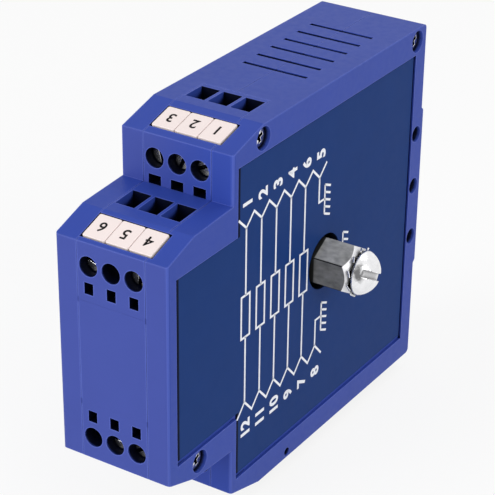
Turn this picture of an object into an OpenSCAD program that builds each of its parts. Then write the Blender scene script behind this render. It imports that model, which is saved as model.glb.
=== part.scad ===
// Two-tier surge arrester for a 35 mm top-hat rail: a moulded housing in two halves, four
// terminal mouldings with screw clamps, a protection circuit board and a side earth stud.
// Drawn in housing coordinates (x across the width, y back from the front face, z up from mid
// height) and then moved, so that the origin is the rail's centre line on the rail face.

/* [Housing] */
// Width across the rail
body_w = 25; // [24:0.5:36]
// Overall height
body_h = 79.2; // [77:0.2:90]
// Depth from the front face to the rail face
body_d = 95.2; // [94:0.2:110]
// Thickness of the moulded walls
wall = 2; // [1.6:0.1:2.4]
// Gap at the seam between the two halves
seam = 0.06; // [0.06:0.02:0.2]
// Radius of the back corners
corner_r = 1; // [0.4:0.1:1.6]
// Relief of the back edges above and below the rail face
back_relief = 0.7; // [0.6:0.1:2]
// Height of the raised rail face
rail_face_h = 36; // [34:0.5:44]

/* [Stepped front] */
// Height of the front face
front_h = 46.4; // [44:0.2:48]
// Run of the front tier's slope
front_run = 8.5; // [8.2:0.1:9]
// Rise of the front tier's slope
front_rise = 2.8; // [2.2:0.1:3.4]
// Rise of the front tier's flat towards the step
front_flat_rise = 0.7; // [0:0.1:1]
// Depth of the step from the front face to the rear tier's face
tier_step = 21.1; // [20.4:0.1:24]
// Run of the rear tier's slope
rear_run = 10.3; // [9.5:0.1:11.5]
// Rise of the rear tier's slope
rear_rise = 2.7; // [2.2:0.1:3.2]
// Radius of the front face's upright edges and of the rear faces' right-hand ones
edge_r = 0.7; // [0.4:0.1:1]

/* [Terminal mouldings] */
// Spacing of the poles
pitch = 5.08; // [5:0.01:5.3]
// Thickness of the wall between two poles
pole_wall = 0.78; // [0.6:0.02:0.9]
// Diameter of the screwdriver holes
driver_d = 4.15; // [3.9:0.05:4.2]
// Drop of the screw axis below the top edge of a tier's face
driver_drop = 4.8; // [4.6:0.1:5.2]
// Distance from the end of the slope to the wire entry
entry_gap = 3; // [2.9:0.1:3.4]
// Length of a wire entry, front to back
entry_len = 5.6; // [5:0.1:6.2]
// Drop of the front tier's test holes below the screw axis
test_drop = 4.6; // [4.4:0.1:5]
// Width of a front test hole
test_w = 2; // [1.6:0.1:2.4]
// Height of a front test hole
test_h = 2.4; // [1.8:0.1:2.6]
// Width of a rear test hole
rear_test_w = 2.8; // [2:0.1:3]
// Height of a rear test hole
rear_test_h = 2.1; // [1.6:0.1:2.2]
// Depth of the rear test holes' lower edge below the flat of the front tier
rear_test_sink = 0.2; // [0:0.1:0.4]
// Thickness of a moulding's face below the clamps
face_t = 3; // [2:0.1:4]
// Side clearance of the mouldings in the housing's window
block_fit = 0.05; // [0.03:0.01:0.15]

/* [Marker tags] */
// Length of a tag along the slope
tag_len = 6.1; // [5.4:0.1:6.6]
// Thickness of a tag
tag_t = 1; // [0.9:0.1:1.6]
// Depth of the recess that the tags lie in
tag_recess = 0.8; // [0.5:0.1:1.2]
// Spacing of the tags
tag_pitch = 5.2; // [5.1:0.02:5.3]
// Shift of a row of tags towards the right-hand side
tag_shift = 0.4; // [0.2:0.05:0.6]
// Gap between two tags
tag_gap = 0.14; // [0.08:0.02:0.3]
// Gap at the ends and sides of the recess
tag_end_gap = 0.3; // [0.2:0.05:0.5]
// Corner radius of a tag
tag_r = 0.4; // [0.3:0.1:0.9]

/* [Screw clamps] */
// Depth of a clamp's front behind the tier's face
clamp_start = 8; // [7.8:0.1:8.4]
// Height of a clamp
clamp_h = 5; // [4.6:0.1:5.2]
// Thickness of a clamp's threaded wall
thread_wall = 1.6; // [1.2:0.1:1.8]
// Thickness of a clamp's back wall
clamp_back = 0.8; // [0.6:0.1:1]
// Thickness of a clamp's side walls
clamp_side = 0.6; // [0.5:0.05:0.7]
// Clearance of a clamp in its pocket
clamp_fit = 0.1; // [0.05:0.05:0.2]
// Diameter of a terminal screw's shank
screw_d = 2.9; // [2.4:0.1:3]
// Radial running clearance of shanks and necks
run_fit = 0.05; // [0.03:0.01:0.08]
// Diameter of a terminal screw's head
head_d = 3.7; // [3.2:0.1:3.7]
// Height of a terminal screw's head
head_h = 1.8; // [1.4:0.1:2]
// Depth of an open screw's head below the face
head_depth = 2.2; // [1.8:0.1:2.3]
// Distance that a closed screw has been turned in
turned_in = 3; // [2:0.1:3.4]
// Thickness of a pressure plate
plate_t = 0.8; // [0.6:0.05:0.9]
// Diameter of the neck that carries a pressure plate
neck_d = 1.6; // [1.3:0.1:1.8]
// Free gap between parts that move against each other
free_gap = 0.3; // [0.25:0.05:0.4]
// Width of a solder tail
tail_w = 2.4; // [1.8:0.1:2.6]
// Thickness of a solder tail
tail_t = 0.8; // [0.6:0.05:0.9]
// Step from one pole's solder tail to the next
tail_step = 2.2; // [1.8:0.1:2.4]

/* [Side screws] */
// Distance of the tie screws behind a tier's face
tie_u = 10.2; // [10:0.05:10.4]
// Height of the tie screws above the terminal screws' axis
tie_v = 4.6; // [4.1:0.1:4.8]
// Distance of the corner screw from the back edge
corner_back = 3.7; // [3:0.1:4]
// Distance of the corner screw from the top
corner_drop = 2.9; // [2.8:0.1:4]
// Diameter of a side screw's shank
tie_d = 2.1; // [1.8:0.1:2.2]
// Diameter of a side screw's head
tie_head_d = 4; // [3.8:0.1:4.4]
// Height of a side screw's head
tie_head_h = 1.5; // [1.2:0.1:1.8]
// Diameter of the counterbores
tie_bore_d = 4.7; // [4.6:0.1:5]
// Depth of the counterbores
tie_bore_depth = 2.6; // [2.4:0.1:3.6]
// Diameter of the screw bosses
boss_d = 7.2; // [6.6:0.1:7.6]

/* [Side label] */
// Distance of the label from the front face
label_front = 3.4; // [2:0.1:4]
// Distance of the label's step behind the tier step
label_step = 2.4; // [1.4:0.1:3]
// Distance of the label from the back edge
label_back = 4.6; // [3.6:0.1:6]
// Distance of the label from the edges of the front face
label_front_edge = 3.9; // [3:0.1:5]
// Distance of the label from the top and bottom
label_edge = 6.2; // [5.8:0.1:8]
// Thickness of the label
label_t = 0.3; // [0.2:0.05:0.4]
// Depth of the label's recess
label_recess = 0.6; // [0.5:0.05:0.8]
// Margin of the recess around the label
label_margin = 0.6; // [0.4:0.1:0.9]
// Distance that the label sits above the middle of its recess
label_lift = 0.3; // [0:0.05:0.35]

/* [Earth stud] */
// Distance of the stud behind the front face
stud_y = 55.6; // [54:0.1:58]
// Height of the stud above mid height
stud_z = 0.45; // [-1:0.05:1]
// Size of the hex across its flats
stud_af = 9.525; // [8:0.1:9.8]
// Length of the hex standoff
stud_len = 25.4; // [24.8:0.1:26]
// Chamfer inside the flats at the hex's outer end
stud_chamfer = 0.45; // [0.2:0.05:0.6]
// Distance that the hex stands out of the housing
stud_out = 7.7; // [6:0.1:9]
// Diameter of the hole around the hex
stud_hole_d = 12; // [11.6:0.1:13]
// Diameter of the stud's screws
stud_screw_d = 3.9; // [3.4:0.1:4]
// Diameter of the earth screw's head
earth_head_d = 9.4; // [8.4:0.1:9.8]
// Height of the earth screw's head
earth_head_h = 3.6; // [2.6:0.1:4]
// Height of the straight rim under the earth screw's dome
earth_rim_h = 0.3; // [0.2:0.1:0.8]
// Width of the earth screw's slot
earth_slot_w = 1.5; // [1:0.1:1.8]
// Depth of the earth screw's slot
earth_slot_depth = 1.8; // [1.2:0.1:2.2]
// Diameter over the star washer's teeth
star_d = 10.2; // [9.6:0.1:10.6]
// Thickness of the star washer
star_t = 0.9; // [0.7:0.05:1.1]

/* [Vents and side holes] */
// Distance of the first vent slot behind the front face
vent_first = 54.9; // [50:0.1:58]
// Spacing of the vent slots
vent_pitch = 5.12; // [4.5:0.02:5.3]
// Width of a vent slot
vent_w = 1; // [0.8:0.05:1.4]
// Length of a vent slot
vent_len = 14.8; // [12:0.1:16]
// Diameter of the small holes beside the rail
side_hole_d = 3.5; // [3:0.1:3.8]
// Spacing of the small holes beside the rail
side_hole_pitch = 12.2; // [11:0.1:13]
// Distance of the small holes from the rail face
side_hole_back = 2.7; // [2.5:0.05:3]

/* [Rail fixing] */
// Height of the rail's centre above mid height
rail_offset = 1.9; // [0:0.1:3]
// Height of the top-hat rail
rail_h = 35; // [35]
// Thickness of the rail's lips
lip_t = 1; // [1]
// Overlap of the claws behind the lips
claw_grip = 1.8; // [1.4:0.1:2.2]
// Thickness of the claws
claw_t = 1.4; // [1.2:0.1:2]
// Half the width of the fixed hook
hook_half = 9; // [6:0.5:10]
// Half the width of the latch's neck
latch_half = 4.7; // [4:0.1:5.2]
// Width of the latch's flanges on each side of its neck
latch_flange = 1.7; // [1.2:0.1:2]
// Thickness of the latch's flanges
flange_t = 1.2; // [1:0.1:1.4]
// Thickness of the latch's neck
neck_t = 1.4; // [1.2:0.1:1.6]
// Travel of the latch
latch_travel = 3; // [2.5:0.1:3.2]
// Outer diameter of the latch spring
spring_d = 2.2; // [2:0.1:2.4]
// Wire diameter of the latch spring
spring_wire = 0.35; // [0.3:0.01:0.4]

/* [Circuit board] */
// Thickness of the board
board_t = 1.6; // [1:0.1:1.8]
// Clearance of the board behind the terminal mouldings
board_gap = 1.3; // [1:0.1:1.6]
// Diameter of the posts that carry the board
post_d = 5; // [4:0.1:5.5]
// Diameter of the pegs on the posts
peg_d = 2.4; // [2:0.1:2.6]
// Diameter of the gas tubes
tube_d = 7.6; // [7:0.1:7.8]
// Length of the gas tubes
tube_len = 9; // [7:0.1:9.4]
// Diameter of the series resistors
resistor_d = 4.4; // [3.8:0.1:4.8]
// Length of the series resistors
resistor_len = 12; // [9:0.1:12.6]
// Diameter of the clamping diodes
diode_d = 5.2; // [4:0.1:5.6]
// Length of the clamping diodes
diode_len = 8; // [6:0.1:9]
// Diameter of the component leads
lead_d = 0.9; // [0.6:0.05:1.1]

/* [Hidden] */
$fn = 48;
eps = 0.01;
ROWS = 4;
POLES = 3;
TERMINALS = ROWS * POLES;
CLOSED_TERMINALS = [5, 7];
CHANNELS = 5;
VENTS = 6;

housing_blue = [0.27, 0.33, 0.66];
label_navy = [0.14, 0.25, 0.48];
tag_white = [0.95, 0.92, 0.91];
bright_metal = [0.78, 0.78, 0.76];
tinned_brass = [0.80, 0.74, 0.55];
board_green = [0.10, 0.36, 0.20];

// Tiers: index 0 is the front tier and index 1 the rear tier
half_w = body_w / 2;
half_h = body_h / 2;
back_y = body_d - back_relief;
front_top = front_h / 2;
front_flat = front_top + front_rise;
step_flat = front_flat + front_flat_rise;
rear_top = half_h - rear_rise;
tier_y = [0, tier_step];
tier_top = [front_top, rear_top];
tier_run = [front_run, rear_run];
tier_rise = [front_rise, rear_rise];
tier_axis = [front_top - driver_drop, rear_top - driver_drop];

// Terminal mouldings, measured back from the tier's face (u) and up from the screw axis (v)
block_w = POLES * pitch;
pocket_w = pitch - pole_wall;
window_half = block_w / 2 + block_fit;
roof_t = 1.5;
pocket_back_wall = 0.8;
entry_start = [for (run = tier_run) run + entry_gap];
entry_end = [for (start = entry_start) start + entry_len];
clamp_end = [for (end = entry_end) end + free_gap];
block_end = [for (end = clamp_end) end + clamp_fit + pocket_back_wall];
block_floor = -clamp_h / 2 - clamp_fit - 0.2;
panel_joint = -test_drop - test_h / 2 - 1.6;
rear_foot = step_flat - roof_t - tier_axis[1];
rear_test_drop = tier_axis[1] - step_flat - rear_test_h / 2 + rear_test_sink;
window_end = tier_step + block_end[1] + block_fit;
tag_bed_right = tag_shift + POLES * tag_pitch / 2 + tag_end_gap;

// Screw clamps
clamp_w = pocket_w - 2 * clamp_fit;
clamp_inner_w = clamp_w - 2 * clamp_side;
plate_u = clamp_start + thread_wall + free_gap + 0.1;
plate_w = clamp_inner_w - 2 * free_gap;
plate_h = clamp_h - 0.6;
stake_gap = 0.1;
stake_d = neck_d + 0.6;
stake_h = 0.4;
slot_w = 0.7;
slot_depth = 0.9;

// Board: its face is where the standoff starts
board_face = half_w + stud_out - stud_len;
board_left = board_face - board_t;
board_front = tier_step + board_gap;
board_waist = window_end + board_gap;
board_back = back_y - corner_back - boss_d / 2 - 0.6;
board_low = step_flat - roof_t - board_gap;
board_high = half_h - wall - board_gap;
posts = [for (s = [-1, 1]) each [[board_front + 5.4, s * (board_low - 3.6)],
                                  [board_back - 4, s * (board_high - 3.4)]]];
pin_len = 2;
pin_y = [for (tier = [0, 1]) (tier == 0 ? board_front : board_waist) + 1.4];
part_gap = 0.4;
channel_start = board_waist + pin_len + 1.4 + tube_d / 2;
channel_pitch = (board_back - tube_d / 2 - channel_start) / (CHANNELS - 1);
channel_y = [for (i = [0 : CHANNELS - 1]) channel_start + channel_pitch * i];
front_part = board_front + resistor_d / 2 + part_gap;
front_pitch = (channel_start - tube_d / 2 - resistor_d / 2 - part_gap - front_part) / (CHANNELS - 2);
resistor_y = concat([for (i = [0 : CHANNELS - 2]) front_part + front_pitch * i], [channel_y[CHANNELS - 2]]);
lead_bend = 1.6;
row_pitch = tube_len + 2 * lead_bend + lead_d + part_gap;
outer_row = board_high - row_pitch / 2 - 1.6;
inner_row = outer_row - row_pitch;
function channel_row(i) = i % 2 == 0 ? inner_row : outer_row;
band_w = 1.2;
band_step = 0.8;
sink_h = 0.8 * board_t;
sink_d = stud_screw_d + 2 * sink_h;
stud_bore = 10;
stud_grip = 8;

// Side screws: two tie the terminal mouldings, one the top back corner
tie_places = [[tier_step + tie_u, tier_axis[1] + tie_v],
              [tie_u, -(tier_axis[0] + tie_v)],
              [back_y - corner_back, half_h - corner_drop]];
tie_seat = half_w - tie_bore_depth;
tie_len = tie_seat + half_w - 1.4;
tie_hole_d = tie_d + 0.3;
dimple_d = 1.8;
dimple_depth = 1.4;
pilot_d = tie_d + 2 * run_fit;

// Rail latch: a T-shaped slider in a guide behind the housing
lip_gap = 0.3;
claw_y = body_d + lip_t + lip_gap;
hook_z = rail_offset + rail_h / 2 + 0.25;
hook_arm = 3;
latch_top = rail_offset - rail_h / 2 - 0.25;
latch_foot = -half_h + 0.4;
latch_back = back_y - free_gap;
neck_y = latch_back - neck_t;
flange_y = neck_y - flange_t;
guide_y = flange_y - free_gap;
guide_t = 1.5;
guide_half = latch_half + latch_flange + free_gap + guide_t;
guide_top = latch_top + free_gap;
window_w = spring_d + 1;
latch_window = [latch_foot + 6.2, latch_foot + 14.2];
stop_h = 1.2;
stop_z = latch_window[0] + free_gap;
spring_base = stop_z + stop_h;
spring_len = latch_window[1] - 0.2 - spring_base;
spring_turns = 6;
spring_sides = 8;
spring_steps = 16;

function terminal_names(base) = [for (i = [1 : TERMINALS]) str(base, "_", i)];

// Helpers

function reverse(list) = [for (i = [len(list) - 1 : -1 : 0]) list[i]];
function left_normal(p, q) = let (edge = q - p) [-edge[1], edge[0]] / norm(edge);
function meet(p, d, q, e) = p + d * cross(q - p, e) / cross(d, e);

// Outline moved inwards by t, its corners where the moved edges meet
function inset(points, t) = let (n = len(points)) [
    for (i = [0 : n - 1])
        let (a = points[(i + n - 1) % n], b = points[i], c = points[(i + 1) % n])
            meet(a + t * left_normal(a, b), b - a, b + t * left_normal(b, c), c - b)];

// Side view of the housing, upper (s = 1) or lower (s = -1) half, from front to back
function profile_half(s) = [
    [0, s * front_top], [front_run, s * front_flat], [tier_step, s * step_flat],
    [tier_step, s * rear_top], [tier_step + rear_run, s * half_h], [back_y, s * half_h],
    [back_y, rail_offset + s * (rail_face_h / 2 + back_relief)],
    [body_d, rail_offset + s * rail_face_h / 2]];
outline = concat(profile_half(-1), reverse(profile_half(1)));

// The same with rounded back corners, for the outer faces
corner_steps = 6;
function rounded_half(s) = let (half = profile_half(s), sharp = 5) concat(
    [for (i = [0 : sharp - 1]) half[i]],
    [for (k = [0 : corner_steps]) let (a = 90 * k / corner_steps)
        [back_y - corner_r * (1 - sin(a)), s * (half_h - corner_r * (1 - cos(a)))]],
    [for (i = [sharp + 1 : len(half) - 1]) half[i]]);
skin_outline = concat(rounded_half(-1), reverse(rounded_half(1)));

// Side view of the label, grown by m
function label_half(s, m) = [
    [label_front - m, s * (front_top - label_front_edge + m)],
    [tier_step + label_step - m, s * (front_top - label_front_edge + m)],
    [tier_step + label_step - m, s * (half_h - label_edge + m)],
    [back_y - label_back + m, s * (half_h - label_edge + m)]];
function label_outline(m) = concat(label_half(-1, m), reverse(label_half(1, m)));

function row_of(terminal) = floor((terminal - 1) / POLES);
function pole_of(terminal) = (terminal - 1) % POLES;
function tier_of(row) = (row == 0 || row == ROWS - 1) ? 1 : 0;
function pole_x(pole) = (pole - (POLES - 1) / 2) * pitch;
function screw_in(terminal) = len(search(terminal, CLOSED_TERMINALS)) > 0 ? turned_in : 0;

module in_rail_frame() translate([0, -body_d, -rail_offset]) children();

// Extrudes a side view (y, z) from x0 to x1
module across(x0, x1) translate([x0, 0, 0]) rotate([90, 0, 90]) linear_extrude(x1 - x0) children();

// Box between two corners
module box(low, high) translate(low) cube(high - low);

// Cylinder along x at a place of the side view
module rod_x(d, x0, x1, place) translate([x0, place[0], place[1]]) rotate([0, 90, 0]) cylinder(d = d, h = x1 - x0);

// Cylinder along y, for screws seen from the front
module rod_y(d, y0, y1) translate([0, y0, 0]) rotate([-90, 0, 0]) cylinder(d = d, h = y1 - y0);

// Cylinder along z
module rod_z(d, z0, z1) translate([0, 0, z0]) cylinder(d = d, h = z1 - z0);

// Puts a terminal row in place: u back from its tier's face, v up from its screw axis
module on_row(row) {
    tier = tier_of(row);
    mirror([0, 0, row >= ROWS / 2 ? 1 : 0]) translate([0, tier_y[tier], tier_axis[tier]]) children();
}

module at_terminal(terminal) on_row(row_of(terminal)) translate([pole_x(pole_of(terminal)), 0, 0]) children();

// Puts children on a tier's slope: x across, y up the slope, z out of it, centred on the slope
module on_slope(tier) {
    run = tier_run[tier];
    rise = tier_rise[tier];
    translate([0, run / 2, driver_drop + rise / 2]) rotate([atan2(rise, run), 0, 0]) children();
}

// Housing

module shell_skin(x0, x1, cavity_x0, cavity_x1) difference() {
    across(x0, x1) polygon(skin_outline);
    across(cavity_x0, cavity_x1) polygon(inset(outline, wall));
}

// What a rounding takes off an upright edge at the right-hand side
module edge_cut(y, z0, z1) translate([half_w - edge_r, y + edge_r, z0]) linear_extrude(z1 - z0) difference() {
    translate([0, -edge_r - 1]) square(edge_r + 1);
    circle(edge_r);
}

// Rounding of the upright edges on the right (s = 1) or on the left (s = -1); the rear left ones are crisp
module upright_edges(s) mirror([s < 0 ? 1 : 0, 0, 0]) {
    edge_cut(0, -half_h - 1, half_h + 1);
    if (s > 0) for (low = [0, 1]) mirror([0, 0, low]) edge_cut(tier_step, step_flat, half_h + 1);
}

module screw_bosses(x0, x1) intersection() {
    across(x0, x1) polygon(skin_outline);
    for (place = tie_places) rod_x(boss_d, x0, x1, place);
}

// Fixed claw over the rail's upper lip
module rail_hook(x0, x1) across(x0, x1) polygon([
    [body_d - wall, hook_z], [claw_y, hook_z], [claw_y, hook_z - claw_grip - 0.25],
    [claw_y + claw_t, hook_z - 0.6], [claw_y + claw_t, hook_z + hook_arm],
    [body_d - wall, hook_z + hook_arm]]);

module latch_guide(x0, x1) intersection() {
    across(x0, x1) polygon(skin_outline);
    box([x0, guide_y - guide_t, -half_h], [x1, body_d, guide_top + guide_t]);
}

module latch_channel() {
    flange_half = latch_half + latch_flange + free_gap;
    neck_half = latch_half + free_gap;
    box([-flange_half, guide_y, -half_h - 1], [flange_half, neck_y + free_gap, guide_top]);
    box([-neck_half, neck_y, -half_h - 1], [neck_half, body_d + 1, guide_top]);
}

// Rib that the latch spring stands on
module spring_stop(x0, x1) box([x0, guide_y - eps, stop_z], [x1, latch_back - free_gap, spring_base]);

module terminal_window() box([-window_half, -1, -half_h - 1], [window_half, window_end, half_h + 1]);

module vent_slots() for (i = [0 : VENTS - 1], s = [-1, 1])
    translate([0, vent_first + i * vent_pitch, s * half_h]) cube([vent_len, vent_w, 3 * wall], center = true);

module right_shell() color(housing_blue) in_rail_frame() {
    rib_x = half_w - 6;
    difference() {
        union() {
            shell_skin(seam / 2, half_w, -1, half_w - wall);
            screw_bosses(seam / 2, half_w);
            rail_hook(seam / 2, hook_half);
            latch_guide(seam / 2, guide_half);
            side_hole_rib(rib_x);
        }
        terminal_window();
        latch_channel();
        vent_slots();
        upright_edges(1);
        translate([0, 0, -label_lift])
            across(half_w - label_recess, half_w + 1) polygon(label_outline(label_margin));
        rod_x(stud_hole_d, 0, half_w + 1, [stud_y, stud_z]);
        for (place = tie_places) {
            rod_x(tie_hole_d, -1, half_w, place);
            rod_x(tie_bore_d, tie_seat, half_w + 1, place);
        }
        for (row = [0 : ROWS - 1]) on_row(row) tag_bed(tier_of(row));
        for (i = [-1 : 1]) rod_x(side_hole_d, rib_x + 1.2, half_w + 1, side_hole_place(i));
        rod_x(dimple_d, half_w - dimple_depth, half_w + 1, [2 * tier_step, -half_h + dimple_d / 2 + 0.4]);
    }
    spring_stop(seam / 2, window_w / 2 - free_gap);
}

function side_hole_place(i) = [body_d - side_hole_back, rail_offset + 1 + i * side_hole_pitch];

// Solid rib inside the back edge that the small side holes are sunk into
module side_hole_rib(x0) intersection() {
    across(x0, half_w) polygon(skin_outline);
    box([x0, body_d - 2 * side_hole_back, rail_offset - 1.4 * side_hole_pitch],
        [half_w, body_d, rail_offset + 1.5 * side_hole_pitch]);
}

module left_shell() color(housing_blue) in_rail_frame() {
    inner_x = -half_w + wall;
    difference() {
        union() {
            shell_skin(-half_w, -seam / 2, inner_x, 1);
            screw_bosses(-half_w, -seam / 2);
            rail_hook(-hook_half, -seam / 2);
            latch_guide(-guide_half, -seam / 2);
        }
        terminal_window();
        latch_channel();
        vent_slots();
        upright_edges(-1);
        for (place = tie_places) rod_x(pilot_d, -half_w + 1, 0, place);
    }
    spring_stop(-window_w / 2 + free_gap, -seam / 2);
    for (place = posts) {
        rod_x(post_d, inner_x - eps, board_left, place);
        rod_x(peg_d, board_left - eps, board_face + 0.6, place);
    }
}

// Centre plate of the front, held by a flange behind the housing's front walls
module front_panel() color(housing_blue) in_rail_frame() {
    joint = tier_axis[0] + panel_joint;
    flange = 1.2;
    box([-block_w / 2, 0, -joint], [block_w / 2, wall + block_fit, joint]);
    box([-block_w / 2 - flange, wall + block_fit, -joint], [block_w / 2 + flange, wall + block_fit + 1.2, joint]);
}

// Terminal mouldings

// Side view of a moulding: face wall, slope and flat over the clamp chambers
function block_outline(tier) = let (
    low = tier == 0 ? panel_joint : rear_foot,
    flat_v = driver_drop + tier_rise[tier],
    flat_rise = tier == 0 ? front_flat_rise * (block_end[0] - front_run) / (tier_step - front_run) : 0,
    end = block_end[tier]) [
        [0, low], [face_t, low], [face_t, block_floor], [end, block_floor],
        [end, flat_v + flat_rise], [tier_run[tier], flat_v], [0, driver_drop]];

// Roof that carries the front tier's flat on to the step
function roof_outline() = let (
    flat_v = driver_drop + front_rise,
    end_v = flat_v + front_flat_rise,
    start_v = flat_v + front_flat_rise * (block_end[0] - front_run) / (tier_step - front_run)) [
        [block_end[0] - eps, start_v - roof_t], [tier_step, end_v - roof_t],
        [tier_step, end_v], [block_end[0] - eps, start_v]];

module clamp_chamber(tier) {
    top = clamp_h / 2 + clamp_fit;
    half = pocket_w / 2;
    box([-half, clamp_start - clamp_fit, block_floor - 1], [half, clamp_end[tier] + clamp_fit, top]);
    box([-half, entry_start[tier], 0], [half, entry_end[tier], half_h]);
    rod_y(driver_d, -1, clamp_start);
}

module test_hole(tier) {
    w = tier == 0 ? test_w : rear_test_w;
    h = tier == 0 ? test_h : rear_test_h;
    drop = tier == 0 ? test_drop : rear_test_drop;
    translate([0, 0, -drop]) cube([w, 2 * face_t + 1, h], center = true);
}

// Recess of a row of tags, open at the moulding's left edge and running on into the right half
module tag_bed(tier) on_slope(tier) {
    bed_half = tag_len / 2 + tag_end_gap;
    box([-block_w / 2 - 1, -bed_half, -tag_recess], [tag_bed_right, bed_half, tag_t + 1]);
}

module terminal_block(row) color(housing_blue) in_rail_frame() on_row(row) {
    tier = tier_of(row);
    difference() {
        union() {
            across(-block_w / 2, block_w / 2) polygon(block_outline(tier));
            if (tier == 0) across(-block_w / 2, block_w / 2) polygon(roof_outline());
        }
        for (pole = [0 : POLES - 1]) translate([pole_x(pole), 0, 0]) {
            clamp_chamber(tier);
            test_hole(tier);
        }
        tag_bed(tier);
        rod_x(tie_hole_d, -block_w, block_w, [tie_u, tie_v]);
    }
}

module rounded_plate(w, l, r, t) {
    linear_extrude(t) {
        square([w - 2 * r, l], center = true);
        square([w, l - 2 * r], center = true);
        for (x = [-1, 1], y = [-1, 1]) translate([x * (w / 2 - r), y * (l / 2 - r)]) circle(r);
    }
}

module marker_tag(terminal) color(tag_white) in_rail_frame() on_row(row_of(terminal))
    on_slope(tier_of(row_of(terminal)))
        translate([tag_shift + (pole_of(terminal) - (POLES - 1) / 2) * tag_pitch, 0, -tag_recess])
            rounded_plate(tag_pitch - tag_gap, tag_len, tag_r, tag_t);

// Screw clamps

// Open box that the wire goes through, with a threaded wall for the screw and a solder tail
module clamp_body(row, pole) {
    tier = tier_of(row);
    end = clamp_end[tier];
    x = pole_x(pole);
    tail_v = -clamp_h / 2 - 1.5 - pole * tail_step;
    tail_x0 = max(x - tail_w / 2, board_face);
    tail_x1 = max(x + tail_w / 2, board_face + tail_w / 2);
    pin_u = pin_y[tier] - tier_y[tier];
    translate([x, 0, 0]) difference() {
        box([-clamp_w / 2, clamp_start, -clamp_h / 2], [clamp_w / 2, end, clamp_h / 2]);
        box([-clamp_inner_w / 2, clamp_start + thread_wall, -clamp_h],
            [clamp_inner_w / 2, end - clamp_back, clamp_h]);
        rod_y(screw_d + 2 * run_fit, clamp_start - 1, clamp_start + thread_wall + 1);
    }
    box([tail_x0, end - clamp_back, tail_v], [tail_x1, end, -clamp_h / 2 + eps]);
    box([tail_x0, end - clamp_back, tail_v], [tail_x1, pin_u + pin_len, tail_v + tail_t]);
    box([board_face, pin_u, tail_v], [tail_x1, pin_u + pin_len, tail_v + tail_t]);
}

module clamp_set(row) color(tinned_brass) in_rail_frame() on_row(row)
    for (pole = [0 : POLES - 1]) clamp_body(row, pole);

// Slotted screw with a neck and a staked end that carry the pressure plate
module terminal_screw(terminal) color(bright_metal) in_rail_frame() at_terminal(terminal)
    translate([0, screw_in(terminal), 0]) {
        shank_end = plate_u - stake_gap;
        neck_end = plate_u + plate_t + stake_gap;
        difference() {
            rod_y(head_d, head_depth, head_depth + head_h);
            translate([0, head_depth, 0]) rotate([0, 35 + 40 * terminal, 0])
                cube([head_d + 1, 2 * slot_depth, slot_w], center = true);
        }
        rod_y(screw_d, head_depth + head_h - eps, shank_end);
        rod_y(neck_d, shank_end - eps, neck_end + eps);
        rod_y(stake_d, neck_end, neck_end + stake_h);
    }

module pressure_plate(terminal) color(tinned_brass) in_rail_frame() at_terminal(terminal)
    translate([0, screw_in(terminal), 0]) difference() {
        box([-plate_w / 2, plate_u, -plate_h / 2], [plate_w / 2, plate_u + plate_t, plate_h / 2]);
        rod_y(neck_d + 2 * run_fit, plate_u - 1, plate_u + plate_t + 1);
    }

// Label, earth stud and side screws

module side_label() color(label_navy) in_rail_frame() difference() {
    floor_x = half_w - label_recess;
    across(floor_x, floor_x + label_t) polygon(label_outline(0));
    rod_x(stud_hole_d, floor_x - 1, half_w + 1, [stud_y, stud_z]);
}

module at_stud(x) translate([x, stud_y, stud_z]) rotate([0, 90, 0]) children();

module earth_standoff() color(bright_metal) in_rail_frame() at_stud(board_face) difference() {
    corner_d = stud_af / cos(30);
    chamfer = (corner_d - stud_af) / 2;
    bore_d = stud_screw_d + 2 * run_fit;
    intersection() {
        cylinder(d = corner_d, h = stud_len, $fn = 6);
        rotate_extrude() polygon([
            [0, 0], [stud_af / 2, 0], [corner_d / 2 + eps, chamfer],
            [corner_d / 2 + eps, stud_len - chamfer - stud_chamfer],
            [stud_af / 2 - stud_chamfer, stud_len], [0, stud_len]]);
    }
    translate([0, 0, -1]) cylinder(d = bore_d, h = stud_bore + 1);
    translate([0, 0, stud_len - stud_bore]) cylinder(d = bore_d, h = stud_bore + 1);
}

// Flat-head screw from the back of the board
module standoff_screw() color(bright_metal) in_rail_frame() at_stud(board_left) {
    slot = 0.35 * sink_d;
    difference() {
        cylinder(d1 = sink_d, d2 = stud_screw_d, h = sink_h);
        for (turn = [0, 90]) rotate([0, 0, turn]) cube([2 * slot, slot / 2, sink_h], center = true);
    }
    translate([0, 0, sink_h - eps]) cylinder(d = stud_screw_d, h = board_t - sink_h + stud_grip + eps);
}

module star_washer() color(bright_metal) in_rail_frame() at_stud(board_face + stud_len) {
    teeth = 10;
    tooth_w = 1.4;
    tooth_t = 0.42 * star_t;
    tooth_twist = 22;
    ring_d = star_d - 3;
    difference() {
        cylinder(d = ring_d, h = star_t);
        translate([0, 0, -1]) cylinder(d = stud_screw_d + 0.4, h = star_t + 2);
    }
    for (i = [0 : teeth - 1]) rotate([0, 0, i * 360 / teeth])
        translate([ring_d / 2 - 0.4, 0, star_t / 2]) rotate([tooth_twist, 0, 0])
            translate([0, -tooth_w / 2, -tooth_t / 2]) cube([(star_d - ring_d) / 2 + 0.4, tooth_w, tooth_t]);
}

// Round head with a screwdriver slot
module earth_screw() color(bright_metal) in_rail_frame() at_stud(board_face + stud_len + star_t) {
    r = earth_head_d / 2;
    dome = earth_head_h - earth_rim_h;
    dome_r = (r * r + dome * dome) / (2 * dome);
    slot_turn = 61;
    difference() {
        intersection() {
            cylinder(r = r, h = earth_head_h);
            translate([0, 0, earth_head_h - dome_r]) sphere(dome_r, $fn = 96);
        }
        rotate([0, 0, slot_turn]) translate([0, 0, earth_head_h])
            cube([2 * r + 1, earth_slot_w, 2 * earth_slot_depth], center = true);
    }
    translate([0, 0, -star_t - stud_grip]) cylinder(d = stud_screw_d, h = star_t + stud_grip + eps);
}

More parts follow.
